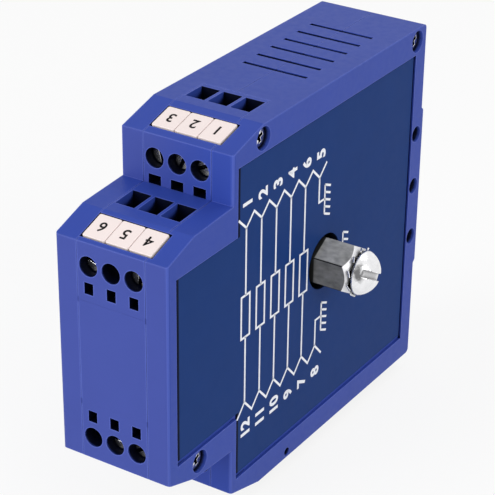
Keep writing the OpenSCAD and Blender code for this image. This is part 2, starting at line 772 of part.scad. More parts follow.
module housing_screws() color(bright_metal) in_rail_frame() for (place = tie_places) {
    difference() {
        rod_x(tie_head_d, tie_seat, tie_seat + tie_head_h, place);
        translate([tie_seat + tie_head_h, place[0], place[1]]) for (turn = [20, 110])
            rotate([turn, 0, 0]) cube([1.8, 2.6, 0.7], center = true);
    }
    rod_x(tie_d, tie_seat - tie_len, tie_seat + eps, place);
}

// Protection circuit

module circuit_board() color(board_green) in_rail_frame() difference() {
    across(board_left, board_face) polygon([
        [board_front, -board_low], [board_waist, -board_low], [board_waist, -board_high],
        [board_back, -board_high], [board_back, board_high], [board_waist, board_high],
        [board_waist, board_low], [board_front, board_low]]);
    for (place = posts) rod_x(peg_d + 2 * run_fit, board_left - 1, board_face + 1, place);
    rod_x(stud_screw_d + 2 * run_fit, board_left - 1, board_face + 1, [stud_y, stud_z]);
    at_stud(board_left) translate([0, 0, -run_fit])
        cylinder(d1 = sink_d + 4 * run_fit, d2 = stud_screw_d + 2 * run_fit, h = sink_h + run_fit);
}

// Two leads bent down to the board from a part that lies along z
module leads(body_len, height) {
    reach = body_len / 2 + lead_bend;
    rod_z(lead_d, -reach - lead_d / 2, reach + lead_d / 2);
    for (s = [-1, 1]) rod_x(lead_d, -height, 0, [0, s * reach]);
}

module gas_tubes() color([0.85, 0.84, 0.82]) in_rail_frame() {
    height = tube_d / 2 + part_gap;
    for (i = [0 : CHANNELS - 1]) translate([board_face + height, channel_y[i], channel_row(i)]) {
        rod_z(tube_d - band_step, -tube_len / 2, tube_len / 2);
        for (s = [-1, 0, 1]) translate([0, 0, s * (tube_len - band_w) / 2]) rod_z(tube_d, -band_w / 2, band_w / 2);
        leads(tube_len, height);
    }
}

module series_resistors() color([0.55, 0.62, 0.58]) in_rail_frame() {
    height = resistor_d / 2 + part_gap;
    for (y = resistor_y) translate([board_face + height, y, stud_z]) {
        rod_z(resistor_d - band_step, -resistor_len / 2, resistor_len / 2);
        for (s = [-1, 1]) translate([0, 0, s * (resistor_len / 2 - 1.2 * band_w)]) rod_z(resistor_d, -band_w, band_w);
        leads(resistor_len, height);
    }
}

module clamping_diodes() color([0.15, 0.15, 0.16]) in_rail_frame() {
    height = diode_d / 2 + part_gap;
    for (i = [0 : CHANNELS - 1]) translate([board_face + height, channel_y[i], -channel_row(i)]) {
        rod_z(diode_d, -diode_len / 2, diode_len / 2);
        leads(diode_len, height);
    }
}

// Rail latch and its spring

module rail_latch() color(housing_blue) in_rail_frame() difference() {
    union() {
        box([-latch_half - latch_flange, flange_y, latch_foot], [latch_half + latch_flange, neck_y + eps, latch_top]);
        box([-latch_half, neck_y, latch_foot], [latch_half, latch_back, latch_top]);
        across(-latch_half, latch_half) polygon([
            [latch_back - eps, latch_top], [latch_back - eps, latch_top - 7.6],
            [claw_y + claw_t, latch_top - hook_arm], [claw_y + claw_t, latch_top + 0.6],
            [claw_y, latch_top + claw_grip + 0.25], [claw_y, latch_top]]);
    }
    box([-window_w / 2, flange_y - 1, latch_window[0]], [window_w / 2, latch_back + 1, latch_window[1]]);
    box([-2.4, flange_y - 1, latch_foot + 1.2], [2.4, latch_back + 1, latch_foot + 3.2]);
}

// Points of one ring of the spring's wire at a turn angle
function spring_ring(angle) = let (
    r = (spring_d - spring_wire) / 2,
    rise = (spring_len - spring_wire) * angle / (360 * spring_turns)) [
        for (k = [0 : spring_sides - 1])
            let (a = 360 * k / spring_sides, out = r + spring_wire / 2 * cos(a))
                [out * cos(angle), out * sin(angle), rise + spring_wire / 2 * (1 + sin(a))]];

module latch_spring() color(bright_metal) in_rail_frame()
    translate([0, (flange_y + latch_back) / 2, spring_base]) {
        rings = spring_turns * spring_steps;
        points = [for (i = [0 : rings]) each spring_ring(360 * i / spring_steps)];
        sides = [for (i = [0 : rings - 1], k = [0 : spring_sides - 1])
            let (a = i * spring_sides + k, b = i * spring_sides + (k + 1) % spring_sides)
                [a, a + spring_sides, b + spring_sides, b]];
        start = [for (k = [0 : spring_sides - 1]) k];
        end = [for (k = [spring_sides - 1 : -1 : 0]) rings * spring_sides + k];
        polyhedron(points, concat(sides, [start], [end]));
    }

right_shell();
left_shell();
front_panel();
for (row = [0 : ROWS - 1]) {
    terminal_block(row);
    clamp_set(row);
}
for (i = [1 : TERMINALS]) {
    terminal_screw(i);
    pressure_plate(i);
    marker_tag(i);
}
side_label();
earth_standoff();
standoff_screw();
star_washer();
earth_screw();
housing_screws();
circuit_board();
gas_tubes();
series_resistors();
clamping_diodes();
rail_latch();
latch_spring();
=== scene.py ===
# Dresses the surge arrester's solids: rounds their moulded edges, gives every piece its finish,
# prints the label and the marker tags, winds the latch spring and sets the studio.
import math

import bmesh
import bpy
from mathutils import Matrix, Vector


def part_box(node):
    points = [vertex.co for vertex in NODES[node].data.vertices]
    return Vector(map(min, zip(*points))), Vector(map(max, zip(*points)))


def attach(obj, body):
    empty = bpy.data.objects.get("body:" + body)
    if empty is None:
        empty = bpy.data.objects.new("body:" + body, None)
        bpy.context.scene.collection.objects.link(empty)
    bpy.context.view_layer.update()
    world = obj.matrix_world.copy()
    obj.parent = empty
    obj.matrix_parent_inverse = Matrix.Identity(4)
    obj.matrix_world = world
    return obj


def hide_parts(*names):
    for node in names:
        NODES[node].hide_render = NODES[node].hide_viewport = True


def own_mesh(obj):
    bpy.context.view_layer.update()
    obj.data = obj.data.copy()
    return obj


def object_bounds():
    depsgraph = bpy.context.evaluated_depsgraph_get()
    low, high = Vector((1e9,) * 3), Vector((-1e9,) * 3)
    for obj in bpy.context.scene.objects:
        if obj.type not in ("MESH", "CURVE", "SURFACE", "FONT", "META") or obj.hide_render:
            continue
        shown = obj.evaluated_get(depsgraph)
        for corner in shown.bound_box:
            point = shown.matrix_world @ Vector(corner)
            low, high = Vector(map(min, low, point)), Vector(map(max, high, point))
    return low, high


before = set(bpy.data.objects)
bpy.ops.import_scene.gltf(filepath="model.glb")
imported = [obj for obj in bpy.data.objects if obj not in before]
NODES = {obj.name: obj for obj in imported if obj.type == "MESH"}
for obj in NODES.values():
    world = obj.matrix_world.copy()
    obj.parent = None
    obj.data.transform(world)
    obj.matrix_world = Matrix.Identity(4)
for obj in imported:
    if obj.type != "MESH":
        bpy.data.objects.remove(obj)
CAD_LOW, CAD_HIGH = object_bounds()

bl_info = {
    "name": "Rail Surge Arrester",
    "version": (1, 0, 0),
    "blender": (4, 5, 0),
    "location": "3D View > Sidebar > Arrester",
    "description": "Finishes, prints and stages a stepped surge arrester with screw terminals",
    "category": "Object",
}

MM = 0.001
TERMINALS = range(1, 13)
ROWS = range(1, 5)
POLES = 3

# The label and the tags are laid out from the front face and the middle of the housing's height
FRONT_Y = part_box("front_panel")[0].y
REAR_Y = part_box("terminal_block_1")[0].y
SHELL_LOW, SHELL_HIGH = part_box("right_shell")
MID_Z = (SHELL_LOW.z + SHELL_HIGH.z) / 2
LABEL_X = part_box("side_label")[1].x

# A normal is square to an axis from this share on, and a point lies in a face within this depth
SQUARE_ON = 0.99
SKIN = 0.05 * MM

# Wire entries: their length, and where they end behind the front of an upper terminal moulding
ENTRY_LENGTH = 5.6 * MM
ENTRY_BACKS = {"terminal_block_2": 17.1 * MM, "terminal_block_1": 18.9 * MM}

# Painted light and shade, added to the sky share: of walls painted as lit, of shaded walls, and of
# driver holes
PAINTED_LIT_WALL = 0.2
PAINTED_SHADED_WALL = -0.3
PAINTED_HOLE_SHADE = -0.1

# Label: the depth of its recess, and the width of the painted shadow line along its front edges
RECESS_DEPTH = 0.6 * MM
LABEL_SHADOW_WIDTH = 0.5 * MM

# Label: how far its step is behind the front face, and half its height before the step
LABEL_STEP = 23.5 * MM
LABEL_FRONT_RISE = 19.3 * MM

# How much the strokes of the numerals are thickened, for a font of size 1
TAG_WEIGHT = 0.012
LABEL_WEIGHT = 0.035

# Stage: how far behind the front face the camera aims, and how far the floor is below the part
TARGET_DEPTH = 40 * MM
FLOOR_DROP = 3.5 * MM


def linear(hex_code):
    """Turns an sRGB hex colour into the linear values that shaders use."""
    channels = [int(hex_code[i : i + 2], 16) / 255 for i in (0, 2, 4)]
    return tuple(c / 12.92 if c <= 0.04045 else ((c + 0.055) / 1.055) ** 2.4 for c in channels)


def colour(label, hex_code, note):
    """A colour that the sidebar shows."""
    return bpy.props.FloatVectorProperty(
        name=label, description=note, default=linear(hex_code), subtype="COLOR", size=3, min=0, max=1
    )


def length(label, millimetres, note):
    """A length that the sidebar shows."""
    return bpy.props.FloatProperty(
        name=label,
        description=note,
        default=millimetres * MM,
        subtype="DISTANCE",
        unit="LENGTH",
        precision=5,
    )


def angle(label, degrees, note):
    """An angle that the sidebar shows."""
    return bpy.props.FloatProperty(
        name=label, description=note, default=math.radians(degrees), subtype="ANGLE"
    )


class ArresterColours(bpy.types.PropertyGroup):
    """Colours of the finishes."""

    housing: colour("Housing", "31479F", "Blue of the moulded housing")
    # Painted highlight: the paler blue painted along the housing's edges
    housing_edge_highlight: colour("Housing edges", "5A6ABE", "Paler blue where the housing's edges are burnished")
    tag: colour("Marker tags", "EFE1DE", "Warm white of the marker tags")
    label: colour("Label film", "1A3872", "Navy of the side label")
    print_white: colour("Label print", "F1F3F9", "White of the wiring diagram")
    print_black: colour("Tag print", "0E0C0D", "Black of the tag numerals")
    bright_nickel: colour("Bright nickel", "EAEAEC", "Plate of the screws and the star washer")
    drawn_nickel: colour("Drawn nickel", "92918C", "Plate of the drawn hex bar")
    tinned_brass: colour("Tinned brass", "B9B09A", "Clamps and pressure plates")
    laminate: colour("Laminate", "1E5A35", "Solder mask of the circuit board")
    ceramic: colour("Ceramic", "DCD8D0", "Glazed tube bodies")
    cement: colour("Cement coat", "8C9E94", "Coat of the series resistors")
    epoxy: colour("Epoxy", "26262A", "Moulded diode bodies")
    wire: colour("Spring wire", "8F9092", "Drawn wire of the latch spring")
    floor: colour("Floor", "F2F2F2", "Pale studio floor")


class ArresterSizes(bpy.types.PropertyGroup):
    """Sizes of the rounded edges, the prints and the spring."""

    shell_edge: length("Housing edge", 0.06, "Radius of the housing's moulded edges")
    block_edge: length("Terminal edge", 0.03, "Radius of the terminal mouldings' edges")
    tag_edge: length("Tag edge", 0.15, "Radius of the marker tags' edges")
    metal_edge: length("Metal edge", 0.08, "Radius of the turned and stamped edges")
    stroke: length("Stroke", 0.47, "Width of the diagram's lines")
    ink: length("Ink", 0.04, "Thickness of the printed ink")
    numeral: length("Label numeral", 3.2, "Height of the label's numerals")
    tag_numeral: length("Tag numeral", 2.5, "Height of the tags' numerals")
    first_line: length("First line", 26.15, "Distance of the diagram's first line from the front face")
    line_pitch: length("Line pitch", 5.31, "Spacing of the diagram's lines")
    spring_wire: length("Spring wire", 0.35, "Diameter of the latch spring's wire")


class ArresterStage(bpy.types.PropertyGroup):
    """Camera and light."""

    azimuth: angle("Azimuth", 33.12, "Turn of the camera from the front")
    elevation: angle("Elevation", 28.23, "Height of the camera")
    roll: angle("Roll", 0.45, "Tilt of the camera")
    distance: length("Distance", 381.4, "Distance of the camera from its target")
    focal: bpy.props.FloatProperty(
        name="Focal length", description="Lens of the camera", default=138.49, unit="CAMERA"
    )
    shift: bpy.props.FloatVectorProperty(
        name="Shift", description="Shift of the lens, across and up", default=(0.0317, 0.06), size=2
    )
    ambient: bpy.props.FloatProperty(
        name="Ambient",
        description="Light of the plain white surround on the object",
        default=0.45,
        subtype="FACTOR",
    )


# Materials


def add_node(tree, kind, inputs=None, **settings):
    """Adds a node, sets its properties, and fills or links its inputs."""
    node = tree.nodes.new(kind)
    for name, value in settings.items():
        setattr(node, name, value)
    for name, value in (inputs or {}).items():
        if isinstance(value, bpy.types.NodeSocket):
            tree.links.new(value, node.inputs[name])
        else:
            node.inputs[name].default_value = value
    return node


def tinted(rgb, factor):
    """A colour made darker or lighter, with the alpha that sockets want."""
    return (*[min(1.0, c * factor) for c in rgb], 1.0)


def start_finish(name, **values):
    """A material with plain values on its shader, and the object coordinates for its patterns."""
    material = bpy.data.materials.new(name)
    material.use_nodes = True
    tree = material.node_tree
    shader = tree.nodes["Principled BSDF"]
    for socket, value in values.items():
        shader.inputs[socket.replace("_", " ")].default_value = value
    place = add_node(tree, "ShaderNodeTexCoord").outputs["Object"]
    return material, tree, shader, place


def set_surface(tree, shader, place, shades, cloud, rough, patch, grain, depth):
    """Clouded colour, uneven gloss and a fine grain, with sizes in millimetres; returns the colour."""
    clouds = add_node(
        tree, "ShaderNodeTexNoise", {"Vector": place, "Scale": 1 / (cloud * MM), "Detail": 3}
    )
    mixed = add_node(
        tree, "ShaderNodeMix", {0: clouds.outputs["Fac"], 6: shades[0], 7: shades[1]}, data_type="RGBA"
    )
    tree.links.new(mixed.outputs[2], shader.inputs["Base Color"])
    patches = add_node(
        tree, "ShaderNodeTexNoise", {"Vector": place, "Scale": 1 / (patch * MM), "Detail": 2}
    )
    # Noise seldom leaves the middle of its range, so the gloss is spread over that part
    gloss = add_node(
        tree,
        "ShaderNodeMapRange",
        {
            "Value": patches.outputs["Fac"],
            "From Min": 0.3,
            "From Max": 0.7,
            "To Min": rough[0],
            "To Max": rough[1],
        },
    )
    tree.links.new(gloss.outputs[0], shader.inputs["Roughness"])
    grit = add_node(
        tree, "ShaderNodeTexNoise", {"Vector": place, "Scale": 1 / (grain * MM), "Detail": 2}
    )
    bump = add_node(
        tree, "ShaderNodeBump", {"Height": grit.outputs["Fac"], "Strength": 0.5, "Distance": depth * MM}
    )
    tree.links.new(bump.outputs[0], shader.inputs["Normal"])
    return mixed.outputs[2]


def shade_hollows(tree, shader, sky, span, tone, dark):
    """Lets the colour sink to a dark one where holes and slots close off the sky."""
    lit = add_node(tree, "ShaderNodeMapRange", {"Value": sky, "From Min": span[0], "From Max": span[1]})
    deep = add_node(tree, "ShaderNodeMix", {0: lit.outputs[0], 6: dark, 7: tone}, data_type="RGBA")
    tree.links.new(deep.outputs[2], shader.inputs["Base Color"])


def painted_entry_light(tree, spot, facing, sky):
    """Paints light and shade: adds to the sky share on some walls, and takes from it on others."""
    rightward = add_node(
        tree, "ShaderNodeMath", {0: facing["X"], 1: SQUARE_ON}, operation="GREATER_THAN"
    ).outputs[0]
    forward = add_node(
        tree, "ShaderNodeMath", {0: facing["Y"], 1: -SQUARE_ON}, operation="LESS_THAN"
    ).outputs[0]
    upward = add_node(
        tree, "ShaderNodeMath", {0: facing["Z"], 1: SQUARE_ON}, operation="GREATER_THAN"
    ).outputs[0]
    # The lower wall of the label's recess is painted as lit as the side around it
    rim = SHELL_HIGH.x - RECESS_DEPTH / 2
    shallow = add_node(
        tree, "ShaderNodeMath", {0: spot["X"], 1: rim, 2: 0.55 * RECESS_DEPTH}, operation="COMPARE"
    ).outputs[0]
    sill = add_node(tree, "ShaderNodeMath", {0: shallow, 1: upward}, operation="MULTIPLY").outputs[0]
    changes = [(sill, PAINTED_LIT_WALL)]
    half = ENTRY_LENGTH / 2
    for block, back in ENTRY_BACKS.items():
        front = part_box(block)[0].y
        end = front + back
        # The left walls of the wire entries get painted light, and their back walls painted shade
        inside = add_node(
            tree, "ShaderNodeMath", {0: spot["Y"], 1: end - half, 2: half}, operation="COMPARE"
        ).outputs[0]
        left_wall = add_node(
            tree, "ShaderNodeMath", {0: inside, 1: rightward}, operation="MULTIPLY"
        ).outputs[0]
        at_end = add_node(
            tree, "ShaderNodeMath", {0: spot["Y"], 1: end, 2: SKIN}, operation="COMPARE"
        ).outputs[0]
        back_wall = add_node(
            tree, "ShaderNodeMath", {0: at_end, 1: forward}, operation="MULTIPLY"
        ).outputs[0]
        # The driver holes start at the moulding's front, and get painted shade
        hole = add_node(
            tree, "ShaderNodeMath", {0: spot["Y"], 1: front + SKIN + half, 2: half}, operation="COMPARE"
        ).outputs[0]
        changes += [(left_wall, PAINTED_LIT_WALL), (back_wall, PAINTED_SHADED_WALL), (hole, PAINTED_HOLE_SHADE)]
    for share, change in changes:
        sky = add_node(
            tree, "ShaderNodeMath", {0: share, 1: change, 2: sky}, operation="MULTIPLY_ADD"
        ).outputs[0]
    return sky


def painted_edge_highlight(tree, spot, flat, facing, sky):
    """The share of painted highlight on the housing's edges, which isn't painted down in the holes."""
    rounded = add_node(tree, "ShaderNodeBevel", {"Radius": 0.5 * MM}, samples=8).outputs[0]
    bend = add_node(tree, "ShaderNodeVectorMath", {0: rounded, 1: flat}, operation="DOT_PRODUCT")
    sharp_edge_glint = add_node(
        tree,
        "ShaderNodeMapRange",
        {
            "Value": bend.outputs["Value"],
            "From Min": 0.85,
            "From Max": 0.99,
            "To Min": 1.0,
            "To Max": 0.0,
        },
    ).outputs[0]
    # The middle of a rounded upright corner, which faces right and forward, gets a fainter painted
    # highlight too
    corner_turn, corner_spread, least_forward, corner_glint_share = 0.7, 0.25, -0.3, 0.45
    oblique = add_node(
        tree, "ShaderNodeMath", {0: facing["X"], 1: corner_turn, 2: corner_spread}, operation="COMPARE"
    ).outputs[0]
    forward = add_node(
        tree, "ShaderNodeMath", {0: facing["Y"], 1: least_forward}, operation="LESS_THAN"
    ).outputs[0]
    corner = add_node(tree, "ShaderNodeMath", {0: oblique, 1: forward}, operation="MULTIPLY").outputs[0]
    faint = add_node(
        tree, "ShaderNodeMath", {0: corner, 1: corner_glint_share}, operation="MULTIPLY"
    ).outputs[0]
    edge_and_corner_glint = add_node(tree, "ShaderNodeMath", {0: sharp_edge_glint, 1: faint}, operation="MAXIMUM").outputs[0]
    outside = add_node(
        tree, "ShaderNodeMapRange", {"Value": sky, "From Min": 0.55, "From Max": 0.7}
    ).outputs[0]
    painted_highlight = add_node(tree, "ShaderNodeMath", {0: edge_and_corner_glint, 1: outside}, operation="MULTIPLY").outputs[0]
    # The ends of the front panel are flush with the mouldings beside it and get no painted highlight
    low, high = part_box("front_panel")
    middle, half = (low + high) / 2, (high - low) / 2
    seam, side_edge = 0.6 * MM, 0.4 * MM
    offset = add_node(
        tree, "ShaderNodeMath", {0: spot["Z"], 1: middle.z}, operation="SUBTRACT"
    ).outputs[0]
    rise = add_node(tree, "ShaderNodeMath", {0: offset}, operation="ABSOLUTE").outputs[0]
    level = add_node(
        tree, "ShaderNodeMath", {0: rise, 1: half.z, 2: seam}, operation="COMPARE"
    ).outputs[0]
    across = add_node(
        tree, "ShaderNodeMath", {0: spot["X"], 1: middle.x, 2: half.x - side_edge}, operation="COMPARE"
    ).outputs[0]
    flush = add_node(tree, "ShaderNodeMath", {0: level, 1: across}, operation="MULTIPLY").outputs[0]
    proud = add_node(tree, "ShaderNodeMath", {0: 1.0, 1: flush}, operation="SUBTRACT").outputs[0]
    return add_node(tree, "ShaderNodeMath", {0: painted_highlight, 1: proud}, operation="MULTIPLY").outputs[0]


def painted_face_light(tree, spot):
    """The share of painted light: the front face, and the rear tiers' faces more towards their left end.
    """
    band = 0.15 * MM
    front = add_node(
        tree, "ShaderNodeMath", {0: spot["Y"], 1: FRONT_Y, 2: band}, operation="COMPARE"
    ).outputs[0]
    rear = add_node(
        tree, "ShaderNodeMath", {0: spot["Y"], 1: REAR_Y, 2: band}, operation="COMPARE"
    ).outputs[0]
    leftward = add_node(
        tree, "ShaderNodeMapRange", {"Value": spot["X"], "From Min": 8 * MM, "From Max": -6 * MM}
    ).outputs[0]
    return add_node(
        tree, "ShaderNodeMath", {0: rear, 1: leftward, 2: front}, operation="MULTIPLY_ADD"
    ).outputs[0]


def moulded_polyamide(colours):
    """Polyamide from a spark-eroded mould: a satin blue with a fine even grain and painted light and
    shade.
    """
    # The real grain of about 0.1 mm is drawn at 0.3 mm, so that it shows
    material, tree, shader, place = start_finish(
        "moulded_polyamide_blue", IOR=1.53, Specular_IOR_Level=0.12
    )
    shades = tinted(colours.housing, 0.95), tinted(colours.housing, 1.05)
    base = set_surface(
        tree, shader, place, shades, cloud=9, rough=(0.36, 0.46), patch=1.4, grain=0.3, depth=0.012
    )
    spot = add_node(tree, "ShaderNodeSeparateXYZ", {0: place}).outputs
    flat = add_node(tree, "ShaderNodeNewGeometry").outputs["True Normal"]
    facing = add_node(tree, "ShaderNodeSeparateXYZ", {0: flat}).outputs
    sky = add_node(tree, "ShaderNodeAmbientOcclusion", {"Distance": 9 * MM}, samples=40).outputs["AO"]
    # Painted light: some faces are painted a little paler, and painted highlights make the edges paler
    # than any face
    face_light_tint = (1.55, 1.14, 0.93, 1)
    face_lit = add_node(
        tree,
        "ShaderNodeMix",
        {0: painted_face_light(tree, spot), 6: base, 7: face_light_tint},
        data_type="RGBA",
        blend_type="MULTIPLY",
    )
    # Painted highlight along the housing's edges
    painted_highlight = painted_edge_highlight(tree, spot, flat, facing, sky)
    highlighted = tinted(colours.housing_edge_highlight, 1.0)
    edged = add_node(
        tree, "ShaderNodeMix", {0: painted_highlight, 6: face_lit.outputs[2], 7: highlighted}, data_type="RGBA"
    )
    # Painted light and shade at the entries, then painted shade where little sky is left
    reach = painted_entry_light(tree, spot, facing, sky)
    shade_hollows(tree, shader, reach, (0.42, 0.5), edged.outputs[2], tinted(colours.housing, 0.03))
    return material


def marker_plastic(colours):
    """Moulded polyamide for printing on: a warm white, smooth and a little waxy."""
    material, tree, shader, place = start_finish("marker_tag_polyamide", IOR=1.53)
    shades = tinted(colours.tag, 0.975), tinted(colours.tag, 1.02)
    set_surface(
        tree, shader, place, shades, cloud=3, rough=(0.34, 0.42), patch=1.0, grain=0.25, depth=0.006
    )
    return material


def thermal_ink(colours):
    """Black thermal-transfer ink: flat and dense, with edges of the same height all over."""
    material, tree, shader, place = start_finish("thermal_transfer_ink", IOR=1.5, Specular_IOR_Level=0.1)
    shades = tinted(colours.print_black, 0.9), tinted(colours.print_black, 1.3)
    set_surface(
        tree, shader, place, shades, cloud=0.6, rough=(0.45, 0.6), patch=0.5, grain=0.15, depth=0.004
    )
    return material


def label_film(colours):
    """Polyester film printed on its back: an even navy under a satin top with a slight orange peel."""
    material, tree, shader, place = start_finish(
        "polyester_label_film", IOR=1.57, Specular_IOR_Level=0.02
    )
    shades = tinted(colours.label, 0.94), tinted(colours.label, 1.06)
    base = set_surface(
        tree, shader, place, shades, cloud=6, rough=(0.3, 0.4), patch=2.0, grain=0.5, depth=0.01
    )
    # A dark line of painted shadow runs along the film's front edge and the edges of its step
    spot = add_node(tree, "ShaderNodeSeparateXYZ", {0: place}).outputs
    front_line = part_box("side_label")[0].y + LABEL_SHADOW_WIDTH
    step_line = FRONT_Y + LABEL_STEP + LABEL_SHADOW_WIDTH
    first = add_node(
        tree, "ShaderNodeMath", {0: spot["Y"], 1: front_line}, operation="LESS_THAN"
    ).outputs[0]
    second = add_node(
        tree, "ShaderNodeMath", {0: spot["Y"], 1: step_line}, operation="LESS_THAN"
    ).outputs[0]
    offset = add_node(tree, "ShaderNodeMath", {0: spot["Z"], 1: MID_Z}, operation="SUBTRACT").outputs[0]
    rise = add_node(tree, "ShaderNodeMath", {0: offset}, operation="ABSOLUTE").outputs[0]
    beyond = add_node(
        tree, "ShaderNodeMath", {0: rise, 1: LABEL_FRONT_RISE}, operation="GREATER_THAN"
    ).outputs[0]
    painted_shadow_line = add_node(
        tree, "ShaderNodeMath", {0: second, 1: beyond, 2: first}, operation="MULTIPLY_ADD"
    ).outputs[0]
    dark = tinted(colours.label, 0.12)
    edged = add_node(tree, "ShaderNodeMix", {0: painted_shadow_line, 6: base, 7: dark}, data_type="RGBA")
    tree.links.new(edged.outputs[2], shader.inputs["Base Color"])
    return material


def screen_ink(colours):
    """White screen ink: opaque, matt, and slightly uneven where the mesh laid it down."""
    material, tree, shader, place = start_finish("white_screen_ink", IOR=1.5)
    shades = tinted(colours.print_white, 0.95), tinted(colours.print_white, 1.03)
    set_surface(
        tree, shader, place, shades, cloud=0.8, rough=(0.42, 0.55), patch=0.6, grain=0.2, depth=0.004
    )
    return material


def bright_nickel(colours, name="bright_nickel_plate", dark_reflection_point=None):
    """Bright nickel plate on turned steel: a faintly clouded mirror, with a painted dark reflection by a
    point.
    """
    material, tree, shader, place = start_finish(name, Metallic=1.0)
    shades = tinted(colours.bright_nickel, 0.85), tinted(colours.bright_nickel, 1.2)
    tone = set_surface(
        tree, shader, place, shades, cloud=1.6, rough=(0.1, 0.24), patch=0.7, grain=0.2, depth=0.004
    )
    if dark_reflection_point is not None:
        # The edge of the painted dark reflection wanders by about half a millimetre
        ripple, wander = 1.1 * MM, 2.4 * MM
        drift = add_node(tree, "ShaderNodeTexNoise", {"Vector": place, "Scale": 1 / ripple, "Detail": 3})
        gap = add_node(tree, "ShaderNodeVectorMath", {0: place, 1: dark_reflection_point}, operation="DISTANCE")
        reach = add_node(
            tree,
            "ShaderNodeMath",
            {0: drift.outputs["Fac"], 1: wander, 2: gap.outputs["Value"]},
            operation="MULTIPLY_ADD",
        ).outputs[0]
        clear_of_reflection = add_node(
            tree, "ShaderNodeMapRange", {"Value": reach, "From Min": 2.6 * MM, "From Max": 3.8 * MM}
        ).outputs[0]
        # Colour of the painted dark reflection
        dark_reflection = tinted(colours.bright_nickel, 0.22)
        tone = add_node(tree, "ShaderNodeMix", {0: clear_of_reflection, 6: dark_reflection, 7: tone}, data_type="RGBA").outputs[2]
    sky = add_node(tree, "ShaderNodeAmbientOcclusion", {"Distance": 1.2 * MM}, samples=24).outputs["AO"]
    shade_hollows(tree, shader, sky, (0.5, 0.95), tone, tinted(colours.bright_nickel, 0.15))
    return material


def drawn_nickel(colours):
    """Nickel plate on drawn hex bar: dulled flats, lined lengthwise, a bright turned end, painted light
    and shade.
    """
    material, tree, shader, place = start_finish("drawn_bar_nickel_plate", Metallic=0.4)
    shades = tinted(colours.drawn_nickel, 0.35), tinted(colours.drawn_nickel, 1.65)
    # The pattern is drawn out along the bar to twice its length
    drawn_out = (0.5, 1.0, 1.0)
    along = add_node(
        tree, "ShaderNodeMapping", {"Vector": place, "Scale": drawn_out}, vector_type="POINT"
    ).outputs[0]
    base = set_surface(
        tree, shader, along, shades, cloud=0.9, rough=(0.38, 0.52), patch=0.8, grain=0.22, depth=0.006
    )
    # The front flat is painted as shaded, and the flat above it as lit
    spot = add_node(tree, "ShaderNodeSeparateXYZ", {0: place}).outputs
    low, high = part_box("earth_standoff")
    # The bar stands on a corner, so the next two corners are at a quarter and three quarters of it
    corner_share = 0.75
    edge = low.z + (high.z - low.z) * corner_share
    blur = 0.3 * MM
    front_flat_shade, upper_flat_light = (0.8, 0.8, 0.8, 1), (1.7, 1.7, 1.7, 1)
    upper = add_node(
        tree,
        "ShaderNodeMapRange",
        {"Value": spot["Z"], "From Min": edge - blur, "From Max": edge + blur},
    )
    tone = add_node(
        tree, "ShaderNodeMix", {0: upper.outputs[0], 6: front_flat_shade, 7: upper_flat_light}, data_type="RGBA"
    )
    flats = add_node(
        tree,
        "ShaderNodeMix",
        {0: 1.0, 6: base, 7: tone.outputs[2]},
        data_type="RGBA",
        blend_type="MULTIPLY",
    )
    # The corners of the bar get painted dark reflection lines, and the turned chamfer is bright
    middle = (low.z + high.z) / 2
    line = 0.11 * MM
    offset = add_node(tree, "ShaderNodeMath", {0: spot["Z"], 1: middle}, operation="SUBTRACT").outputs[0]
    away = add_node(tree, "ShaderNodeMath", {0: offset}, operation="ABSOLUTE").outputs[0]
    dark_corner_reflection = add_node(
        tree, "ShaderNodeMath", {0: away, 1: edge - middle, 2: line}, operation="COMPARE"
    ).outputs[0]
    dark = tinted(colours.drawn_nickel, 0.06)
    lined = add_node(tree, "ShaderNodeMix", {0: dark_corner_reflection, 6: flats.outputs[2], 7: dark}, data_type="RGBA")
    flat = add_node(tree, "ShaderNodeNewGeometry").outputs["True Normal"]
    outward = add_node(tree, "ShaderNodeSeparateXYZ", {0: flat}).outputs["X"]
    turned = add_node(tree, "ShaderNodeMapRange", {"Value": outward, "From Min": 0.2, "From Max": 0.4})
    bright = tinted(colours.bright_nickel, 1.0)
    ended = add_node(
        tree, "ShaderNodeMix", {0: turned.outputs[0], 6: lined.outputs[2], 7: bright}, data_type="RGBA"
    )
    # Where the bar goes down into its hole, it is painted dark as shade
    root, clear = LABEL_X + 0.25 * MM, LABEL_X + 0.45 * MM
    risen = add_node(
        tree, "ShaderNodeMapRange", {"Value": spot["X"], "From Min": root, "From Max": clear}
    )
    rooted = add_node(
        tree, "ShaderNodeMix", {0: risen.outputs[0], 6: dark, 7: ended.outputs[2]}, data_type="RGBA"
    )
    tree.links.new(rooted.outputs[2], shader.inputs["Base Color"])
    return material


def tinned_brass(colours):
    """Stamped brass with a tin flash: a pale warm metal with a soft, patchy gloss."""
    material, tree, shader, place = start_finish("tinned_brass", Metallic=1.0)
    shades = tinted(colours.tinned_brass, 0.85), tinted(colours.tinned_brass, 1.1)
    set_surface(
        tree, shader, place, shades, cloud=1.6, rough=(0.28, 0.42), patch=0.9, grain=0.25, depth=0.006
    )
    return material


def spring_wire(colours):
    """Hard-drawn spring wire: grey and fairly bright, with a fine drawn skin."""
    material, tree, shader, place = start_finish("drawn_spring_wire", Metallic=1.0)
    shades = tinted(colours.wire, 0.8), tinted(colours.wire, 1.15)
    set_surface(
        tree, shader, place, shades, cloud=0.4, rough=(0.22, 0.34), patch=0.4, grain=0.12, depth=0.004
    )
    return material


